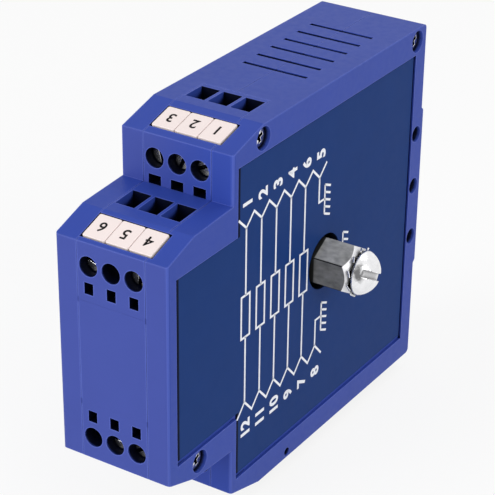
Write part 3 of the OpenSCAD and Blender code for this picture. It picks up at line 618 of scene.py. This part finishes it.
def glass_laminate(colours):
    """Glass-epoxy board under solder mask: glossy green with the glass weave showing through."""
    material, tree, shader, place = start_finish("solder_masked_laminate", IOR=1.55)
    shades = tinted(colours.laminate, 0.8), tinted(colours.laminate, 1.15)
    base = set_surface(
        tree, shader, place, shades, cloud=5, rough=(0.24, 0.34), patch=2.0, grain=0.4, depth=0.01
    )
    # Glass cloth with threads about 0.8 mm apart; a wave's phase is 20 times its scale
    thread_scale = math.tau / (20 * 0.8 * MM)
    threads = [
        add_node(
            tree, "ShaderNodeTexWave", {"Vector": place, "Scale": thread_scale}, bands_direction=bands
        ).outputs["Fac"]
        for bands in ("Y", "Z")
    ]
    weave = add_node(tree, "ShaderNodeMath", {0: threads[0], 1: threads[1]}, operation="MULTIPLY")
    dark = tinted(colours.laminate, 0.7)
    woven = add_node(tree, "ShaderNodeMix", {0: weave.outputs[0], 6: base, 7: dark}, data_type="RGBA")
    tree.links.new(woven.outputs[2], shader.inputs["Base Color"])
    return material


def glazed_ceramic(colours):
    """Glazed alumina tubes: milky, with a clear gloss."""
    material, tree, shader, place = start_finish("glazed_ceramic", IOR=1.6)
    shades = tinted(colours.ceramic, 0.95), tinted(colours.ceramic, 1.03)
    set_surface(
        tree, shader, place, shades, cloud=2, rough=(0.18, 0.28), patch=1.0, grain=0.4, depth=0.006
    )
    return material


def cement_coat(colours):
    """Cement coat on wire-wound resistors: chalky grey-green with a gritty skin."""
    material, tree, shader, place = start_finish("cement_coat", IOR=1.5)
    shades = tinted(colours.cement, 0.82), tinted(colours.cement, 1.1)
    set_surface(
        tree, shader, place, shades, cloud=0.9, rough=(0.55, 0.75), patch=0.8, grain=0.3, depth=0.03
    )
    return material


def moulded_epoxy(colours):
    """Transfer-moulded epoxy: near black, matt and finely eroded."""
    material, tree, shader, place = start_finish("moulded_epoxy_black", IOR=1.55)
    shades = tinted(colours.epoxy, 0.85), tinted(colours.epoxy, 1.25)
    set_surface(
        tree, shader, place, shades, cloud=1.5, rough=(0.42, 0.55), patch=1.0, grain=0.25, depth=0.012
    )
    return material


# Shapes


def soften(node, radius):
    """Rounds a solid's crisp edges with modifiers; its own mesh stays as it is."""
    joined = node.modifiers.new("joined_faces", "WELD")
    joined.merge_threshold = 0.002 * MM
    edge = node.modifiers.new("edge_radius", "BEVEL")
    edge.width = radius
    edge.segments = 2
    edge.limit_method = "ANGLE"
    edge.angle_limit = math.radians(30)
    edge.use_clamp_overlap = False
    edge.loop_slide = False
    edge.harden_normals = True


def finish_nodes(names, material, radius=0.0):
    """Gives CAD pieces their finish, and rounded edges where a radius is named."""
    for name in names:
        node = NODES[name]
        node.data.materials.clear()
        node.data.materials.append(material)
        if radius:
            soften(node, radius)


def place_piece(bm, name, material, body):
    """Makes a piece of a bmesh whose points are in the part's frame, and lets it ride on a body."""
    if not bm.verts:
        raise RuntimeError(f"{name} has no shape")
    mesh = bpy.data.meshes.new(name)
    bm.to_mesh(mesh)
    bm.free()
    mesh.materials.append(material)
    piece = bpy.data.objects.new(name, mesh)
    bpy.context.scene.collection.objects.link(piece)
    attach(piece, body)
    return piece


def add_numeral(bm, text, height, weight, ink, matrix):
    """Adds a raised numeral, thickened by a share of its size, centred on the matrix's origin."""
    curve = bpy.data.curves.new("numeral", "FONT")
    curve.body = text
    curve.align_x = "CENTER"
    curve.resolution_u = 4
    holder = bpy.data.objects.new("numeral", curve)
    bpy.context.scene.collection.objects.link(holder)
    shape = holder.evaluated_get(bpy.context.evaluated_depsgraph_get())
    flat = bpy.data.meshes.new_from_object(shape)
    letters = bmesh.new()
    letters.from_mesh(flat)
    bmesh.ops.remove_doubles(letters, verts=letters.verts, dist=1e-5)
    # A negative inset spreads the faces past their outline, and the rim it folds back goes
    rim = bmesh.ops.inset_region(
        letters, faces=letters.faces[:], thickness=-weight, use_boundary=True, use_even_offset=True
    )
    bmesh.ops.delete(letters, geom=rim["faces"], context="FACES")
    low = min(v.co.y for v in letters.verts)
    high = max(v.co.y for v in letters.verts)
    bmesh.ops.recalc_face_normals(letters, faces=letters.faces)
    if sum(f.normal.z for f in letters.faces) < 0:
        bmesh.ops.reverse_faces(letters, faces=letters.faces)
    raised = bmesh.ops.extrude_face_region(letters, geom=letters.faces[:], use_keep_orig=True)
    tops = [g for g in raised["geom"] if isinstance(g, bmesh.types.BMVert)]
    scale = height / (high - low)
    bmesh.ops.translate(letters, verts=tops, vec=(0, 0, ink / scale))
    bmesh.ops.translate(letters, verts=letters.verts, vec=(0, -(low + high) / 2, 0))
    bmesh.ops.recalc_face_normals(letters, faces=letters.faces)
    letters.transform(matrix @ Matrix.Scale(scale, 4))
    letters.to_mesh(flat)
    letters.free()
    bm.from_mesh(flat)
    bpy.data.objects.remove(holder)
    bpy.data.curves.remove(curve)
    bpy.data.meshes.remove(flat)


def on_label(y, z):
    """A place on the label's face, from millimetres behind the front face and above mid height."""
    return Vector((LABEL_X, FRONT_Y + y * MM, MID_Z + z * MM))


def add_line(bm, points, ink, closed=False):
    """Adds a wall as high as the ink along a line of the diagram; the modifier gives it its width."""
    verts = [bm.verts.new(on_label(y, z)) for y, z in points]
    ends = verts[1:] + verts[:1] if closed else verts[1:]
    edges = [bm.edges.new(pair) for pair in zip(verts, ends)]
    wall = bmesh.ops.extrude_edge_only(bm, edges=edges)
    tops = [g for g in wall["geom"] if isinstance(g, bmesh.types.BMVert)]
    bmesh.ops.translate(bm, verts=tops, vec=(ink, 0, 0))


def add_comb(bm, y, top, ink):
    """Adds the chassis sign: a bar with five slanted teeth, in millimetres."""
    teeth, step, run, slant = 5, 1.6, 2.2, 0.95
    add_line(bm, [(y, top), (y, top - (teeth - 1) * step)], ink)
    for i in range(teeth):
        root = top - i * step
        add_line(bm, [(y, root), (y + run, root - slant)], ink)


def side_of_tag(name):
    """Centre and outward normal of a tag's printed face."""
    node = NODES[name]
    outward = 1 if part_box(name)[0].z > MID_Z else -1
    faces = [p for p in node.data.polygons if p.normal.z * outward > 0.5]
    widest = max(faces, key=lambda p: p.area)
    normal = widest.normal.copy()
    along = Vector((1, 0, 0)).cross(normal)
    points = [v.co for v in node.data.vertices]
    height = max(p.dot(normal) for p in points)
    run = [p.dot(along) for p in points if p.dot(normal) > height - SKIN]
    across = [p.x for p in points]
    centre = normal * height + along * (min(run) + max(run)) / 2
    centre.x = (min(across) + max(across)) / 2
    return centre, normal


# Operators


class ARRESTER_OT_housing(bpy.types.Operator):
    """Finish the two shells, the front panel, the terminal mouldings and the rail latch"""

    bl_idname = "arrester.housing"
    bl_label = "Housing"

    def execute(self, context):
        plastic = moulded_polyamide(context.scene.arrester_colours)
        sizes = context.scene.arrester_sizes
        finish_nodes(["right_shell", "left_shell", "rail_latch"], plastic, sizes.shell_edge)
        finish_nodes([f"terminal_block_{row}" for row in ROWS], plastic, sizes.block_edge)
        finish_nodes(["front_panel"], plastic)
        return {"FINISHED"}


class ARRESTER_OT_clamps(bpy.types.Operator):
    """Finish the clamp bodies and the pressure plates"""

    bl_idname = "arrester.clamps"
    bl_label = "Clamps"

    def execute(self, context):
        brass = tinned_brass(context.scene.arrester_colours)
        finish_nodes([f"clamp_set_{row}" for row in ROWS], brass)
        finish_nodes([f"pressure_plate_{i}" for i in TERMINALS], brass)
        return {"FINISHED"}


class ARRESTER_OT_screws(bpy.types.Operator):
    """Finish the terminal, housing and standoff screws and the star washer"""

    bl_idname = "arrester.screws"
    bl_label = "Screws"

    def execute(self, context):
        names = [f"terminal_screw_{i}" for i in TERMINALS]
        names += ["housing_screws", "standoff_screw", "star_washer"]
        edge = context.scene.arrester_sizes.metal_edge
        finish_nodes(names, bright_nickel(context.scene.arrester_colours), edge)
        return {"FINISHED"}


class ARRESTER_OT_marker_tags(bpy.types.Operator):
    """Finish the marker tags and print their numerals"""

    bl_idname = "arrester.marker_tags"
    bl_label = "Marker tags"

    def execute(self, context):
        colours = context.scene.arrester_colours
        sizes = context.scene.arrester_sizes
        finish_nodes([f"marker_tag_{i}" for i in TERMINALS], marker_plastic(colours), sizes.tag_edge)
        # The two upper rows are read from behind, so their numbers run from right to left
        numerals = {1: "321", 2: "654", 3: "789", 4: ("10", "11", "12")}
        bm = bmesh.new()
        for i in TERMINALS:
            row = (i - 1) // POLES + 1
            text = numerals[row][(i - 1) % POLES]
            centre, normal = side_of_tag(f"marker_tag_{i}")
            reading = Vector((-1, 0, 0)) if row < 3 else Vector((1, 0, 0))
            up = normal.cross(reading)
            matrix = Matrix((reading, up, normal)).transposed().to_4x4()
            matrix.translation = centre
            add_numeral(bm, text, sizes.tag_numeral, TAG_WEIGHT, sizes.ink, matrix)
        place_piece(bm, "tag_numerals", thermal_ink(colours), "housing")
        return {"FINISHED"}


class ARRESTER_OT_side_label(bpy.types.Operator):
    """Finish the label film and print the wiring diagram on it"""

    bl_idname = "arrester.side_label"
    bl_label = "Side label"

    def execute(self, context):
        colours = context.scene.arrester_colours
        sizes = context.scene.arrester_sizes
        finish_nodes(["side_label"], label_film(colours))
        white = screen_ink(colours)
        pitch = sizes.line_pitch / MM
        lines = [sizes.first_line / MM + pitch * i for i in range(6)]
        self.print_diagram(lines, pitch, sizes, white)
        self.print_numerals(lines, sizes, white)
        return {"FINISHED"}

    @staticmethod
    def print_diagram(lines, pitch, sizes, white):
        """Forks at both ends, five lines with boxes, a sixth with leads, and three chassis signs."""
        fork_top, fork_peak, fork_low, fork_dip = 20.3, 22.8, -18.05, -20.9
        box_top, box_low, box_half = 5.95, -3.2, 1.47
        comb_y, lead_top, lead_low = 54.95, 14.8, -12
        stud_y, stud_comb_y, stud_z = 61.8, 62.85, 0.85
        comb_tops = ((comb_y, 17.9), (comb_y, -8.9), (stud_comb_y, 4.05))
        bm = bmesh.new()
        for level, tip in ((fork_top, fork_peak), (fork_low, fork_dip)):
            zigzag = [(lines[0] - pitch / 2, tip)]
            for y in lines:
                zigzag += [(y, level), (y + pitch / 2, tip)]
            add_line(bm, zigzag, sizes.ink)
        for y in lines[:5]:
            add_line(bm, [(y, fork_top), (y, box_top)], sizes.ink)
            add_line(bm, [(y, box_low), (y, fork_low)], sizes.ink)
            near, far = y - box_half, y + box_half
            corners = [(near, box_top), (far, box_top), (far, box_low), (near, box_low)]
            add_line(bm, corners, sizes.ink, closed=True)
        for level, lead in ((fork_top, lead_top), (fork_low, lead_low)):
            add_line(bm, [(lines[5], level), (lines[5], lead), (comb_y, lead)], sizes.ink)
        add_line(bm, [(stud_y, stud_z), (stud_comb_y, stud_z)], sizes.ink)
        for y, top in comb_tops:
            add_comb(bm, y, top, sizes.ink)
        diagram = place_piece(bm, "label_diagram", white, "housing")
        width = diagram.modifiers.new("stroke_width", "SOLIDIFY")
        width.thickness = sizes.stroke
        width.offset = 0
        width.use_even_offset = True

    @staticmethod
    def print_numerals(lines, sizes, white):
        """A number at each end of each line, read upwards."""
        upper_z, lower_z, shift = 25.3, -24.35, 0.35
        upper_texts = ("1", "2", "3", "4", "6", "5")
        lower_texts = ("12", "11", "10", "9", "7", "8")
        turn = Matrix(((0, 0, 1), (0, -1, 0), (1, 0, 0))).to_4x4()
        bm = bmesh.new()
        for z, texts in ((upper_z, upper_texts), (lower_z, lower_texts)):
            for y, text in zip(lines, texts):
                matrix = Matrix.Translation(on_label(y + shift, z)) @ turn
                add_numeral(bm, text, sizes.numeral, LABEL_WEIGHT, sizes.ink, matrix)
        place_piece(bm, "label_numerals", white, "housing")


class ARRESTER_OT_earth_stud(bpy.types.Operator):
    """Finish the hex standoff and the slotted screw of the earth terminal"""

    bl_idname = "arrester.earth_stud"
    bl_label = "Earth stud"

    def execute(self, context):
        colours = context.scene.arrester_colours
        sizes = context.scene.arrester_sizes
        finish_nodes(["earth_standoff"], drawn_nickel(colours), sizes.metal_edge)
        # A dark reflection is painted on the head around a point of its rim that is in front and above
        # the middle
        low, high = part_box("earth_screw")
        under, inward, above = 1.5 * MM, 0.3 * MM, 2.4 * MM
        rim = Vector((high.x - under, low.y + inward, (low.z + high.z) / 2 + above))
        nickel = bright_nickel(colours, "earth_screw_nickel_plate", rim)
        finish_nodes(["earth_screw"], nickel, sizes.metal_edge)
        return {"FINISHED"}


class ARRESTER_OT_circuit(bpy.types.Operator):
    """Finish the circuit board and the protection parts on it"""

    bl_idname = "arrester.circuit"
    bl_label = "Circuit"

    def execute(self, context):
        colours = context.scene.arrester_colours
        finish_nodes(["circuit_board"], glass_laminate(colours))
        finish_nodes(["gas_tubes"], glazed_ceramic(colours))
        finish_nodes(["series_resistors"], cement_coat(colours))
        finish_nodes(["clamping_diodes"], moulded_epoxy(colours))
        return {"FINISHED"}


class ARRESTER_OT_latch_spring(bpy.types.Operator):
    """Wind the spring of the rail latch, with closed ends"""

    bl_idname = "arrester.latch_spring"
    bl_label = "Latch spring"

    def execute(self, context):
        wire = context.scene.arrester_sizes.spring_wire
        steel = spring_wire(context.scene.arrester_colours)
        low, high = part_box("latch_spring")
        reach = high.z - low.z
        radius = (high.x - low.x - wire) / 2
        turns, steps, sides = 6, 28, 12
        bm = bmesh.new()
        ring = bmesh.ops.create_circle(bm, segments=sides, radius=wire / 2)["verts"]
        upright = Matrix.Rotation(math.radians(90), 3, "X")
        bmesh.ops.rotate(bm, verts=ring, cent=(0, 0, 0), matrix=upright)
        bmesh.ops.translate(bm, verts=ring, vec=(radius, 0, wire / 2))
        end = bm.verts[:] + bm.edges[:]
        for count, rise in ((1, wire), (turns, reach - 3 * wire), (1, wire)):
            wound = bmesh.ops.spin(
                bm,
                geom=end,
                axis=(0, 0, 1),
                cent=(0, 0, 0),
                dvec=(0, 0, rise / (count * steps)),
                angle=math.tau * count,
                steps=count * steps,
                use_merge=False,
            )
            end = wound["geom_last"]
        bmesh.ops.holes_fill(bm, edges=bm.edges[:], sides=0)
        bmesh.ops.recalc_face_normals(bm, faces=bm.faces)
        for face in bm.faces:
            face.smooth = len(face.verts) == 4
        middle = (low + high) / 2
        bmesh.ops.translate(bm, verts=bm.verts, vec=(middle.x, middle.y, low.z))
        spring = place_piece(bm, "latch_coil_spring", steel, "housing")
        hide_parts("latch_spring")
        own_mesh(spring)
        return {"FINISHED"}


class ARRESTER_OT_stage(bpy.types.Operator):
    """Set the camera, the soft lamps, the white surround and the floor"""

    bl_idname = "arrester.stage"
    bl_label = "Stage"

    def execute(self, context):
        scene = context.scene
        stage = scene.arrester_stage
        scene.view_settings.view_transform = "Standard"
        target = Vector((0, FRONT_Y + TARGET_DEPTH, MID_Z))
        self.set_camera(scene, stage, target)
        self.hang_lamps(scene, target)
        self.set_world(scene, stage.ambient)
        self.lay_floor(scene, scene.arrester_colours.floor)
        return {"FINISHED"}

    @staticmethod
    def direction(azimuth, elevation):
        """Unit vector from the object towards an azimuth and elevation."""
        level = math.cos(elevation)
        return Vector((math.sin(azimuth) * level, -math.cos(azimuth) * level, math.sin(elevation)))

    def set_camera(self, scene, stage, target):
        """Puts the camera at the photograph's angle, for a square frame."""
        away = self.direction(stage.azimuth, stage.elevation)
        right = (-away).cross(Vector((0, 0, 1))).normalized()
        up = right.cross(-away)
        tilted = right * math.cos(stage.roll) + up * math.sin(stage.roll)
        upright = up * math.cos(stage.roll) - right * math.sin(stage.roll)
        data = bpy.data.cameras.new("photo_camera")
        data.lens = stage.focal
        data.sensor_width = 36
        data.shift_x, data.shift_y = stage.shift
        data.clip_start = 0.02
        camera = bpy.data.objects.new("photo_camera", data)
        turned = Matrix((tilted, upright, away)).transposed().to_4x4()
        turned.translation = target + away * stage.distance
        camera.matrix_world = turned
        scene.collection.objects.link(camera)
        scene.camera = camera

    def hang_lamps(self, scene, target):
        """Soft square lamps that look at the object."""
        # Azimuth and elevation in degrees, level at the object, distance and width in metres
        lamps = {
            "key_lamp": (-25, 24, 0.6, 0.9, 0.5),
            "fill_lamp": (74, 24, 0.36, 0.9, 0.6),
            "rim_lamp": (150, 62, 0.18, 0.9, 0.4),
        }
        for name, (azimuth, elevation, level, distance, width) in lamps.items():
            lamp = bpy.data.lights.new(name, "AREA")
            lamp.size = width
            # The power at which white that faces the lamp shows as this level
            lamp.energy = level * math.pi**2 * distance**2
            away = self.direction(math.radians(azimuth), math.radians(elevation))
            holder = bpy.data.objects.new(name, lamp)
            holder.location = target + away * distance
            holder.rotation_euler = (-away).to_track_quat("-Z", "Y").to_euler()
            scene.collection.objects.link(holder)

    @staticmethod
    def seen_directly(tree):
        """A value of 1 for camera, glossy and transmission rays, and 0 for the light on the object."""
        path = add_node(tree, "ShaderNodeLightPath")
        shown = path.outputs["Is Camera Ray"]
        for kind in ("Glossy", "Transmission"):
            ray = path.outputs[f"Is {kind} Ray"]
            shown = add_node(tree, "ShaderNodeMath", {0: shown, 1: ray}, operation="MAXIMUM").outputs[0]
        return shown

    def set_world(self, scene, ambient):
        """White where it is seen, and a plain even light on the object."""
        world = bpy.data.worlds.new("white_surround")
        world.use_nodes = True
        tree = world.node_tree
        shown = self.seen_directly(tree)
        strength = add_node(
            tree, "ShaderNodeMath", {0: shown, 1: 1 - ambient, 2: ambient}, operation="MULTIPLY_ADD"
        )
        background = tree.nodes["Background"]
        background.inputs["Color"].default_value = (1, 1, 1, 1)
        tree.links.new(strength.outputs[0], background.inputs["Strength"])
        scene.world = world

    def lay_floor(self, scene, pale):
        """A pale floor that looks white and keeps a soft shadow."""
        material = bpy.data.materials.new("pale_floor")
        material.use_nodes = True
        tree = material.node_tree
        tree.nodes.remove(tree.nodes["Principled BSDF"])
        matt = add_node(tree, "ShaderNodeBsdfDiffuse", {"Color": (*pale, 1.0)})
        glow = add_node(tree, "ShaderNodeEmission", {"Color": (1, 1, 1, 1), "Strength": 1.0})
        glow_share = 0.85
        shown = self.seen_directly(tree)
        share = add_node(tree, "ShaderNodeMath", {0: shown, 1: glow_share}, operation="MULTIPLY")
        mixed = add_node(
            tree, "ShaderNodeMixShader", {0: share.outputs[0], 1: matt.outputs[0], 2: glow.outputs[0]}
        )
        tree.links.new(mixed.outputs[0], tree.nodes["Material Output"].inputs["Surface"])
        bm = bmesh.new()
        bmesh.ops.create_grid(bm, x_segments=8, y_segments=8, size=4)
        # The floor leaves room for the latch to come down
        bmesh.ops.translate(bm, verts=bm.verts, vec=(0, 0, CAD_LOW.z - FLOOR_DROP))
        mesh = bpy.data.meshes.new("studio_floor")
        bm.to_mesh(mesh)
        bm.free()
        mesh.materials.append(material)
        floor = bpy.data.objects.new("studio_floor", mesh)
        scene.collection.objects.link(floor)


PIECES = (
    ARRESTER_OT_housing,
    ARRESTER_OT_clamps,
    ARRESTER_OT_screws,
    ARRESTER_OT_marker_tags,
    ARRESTER_OT_side_label,
    ARRESTER_OT_earth_stud,
    ARRESTER_OT_circuit,
    ARRESTER_OT_latch_spring,
    ARRESTER_OT_stage,
)

GROUPS = {
    "arrester_sizes": ArresterSizes,
    "arrester_colours": ArresterColours,
    "arrester_stage": ArresterStage,
}


class VIEW3D_PT_arrester(bpy.types.Panel):
    """Sidebar with the pieces and their sizes and colours"""

    bl_label = "Surge arrester"
    bl_space_type = "VIEW_3D"
    bl_region_type = "UI"
    bl_category = "Arrester"

    def draw(self, context):
        for piece in PIECES:
            self.layout.operator(piece.bl_idname)
        for group in GROUPS:
            values = getattr(context.scene, group)
            column = self.layout.column()
            for name in values.__annotations__:
                column.prop(values, name)


def register():
    for name, group in GROUPS.items():
        bpy.utils.register_class(group)
        setattr(bpy.types.Scene, name, bpy.props.PointerProperty(type=group))
    for piece in PIECES:
        bpy.utils.register_class(piece)
    bpy.utils.register_class(VIEW3D_PT_arrester)


def unregister():
    bpy.utils.unregister_class(VIEW3D_PT_arrester)
    for piece in reversed(PIECES):
        bpy.utils.unregister_class(piece)
    for name, group in GROUPS.items():
        delattr(bpy.types.Scene, name)
        bpy.utils.unregister_class(group)


def main():
    register()
    bpy.ops.arrester.housing()
    bpy.ops.arrester.clamps()
    bpy.ops.arrester.screws()
    bpy.ops.arrester.marker_tags()
    bpy.ops.arrester.side_label()
    bpy.ops.arrester.earth_stud()
    bpy.ops.arrester.circuit()
    bpy.ops.arrester.latch_spring()
    bpy.ops.arrester.stage()


if __name__ == "__main__":
    main()
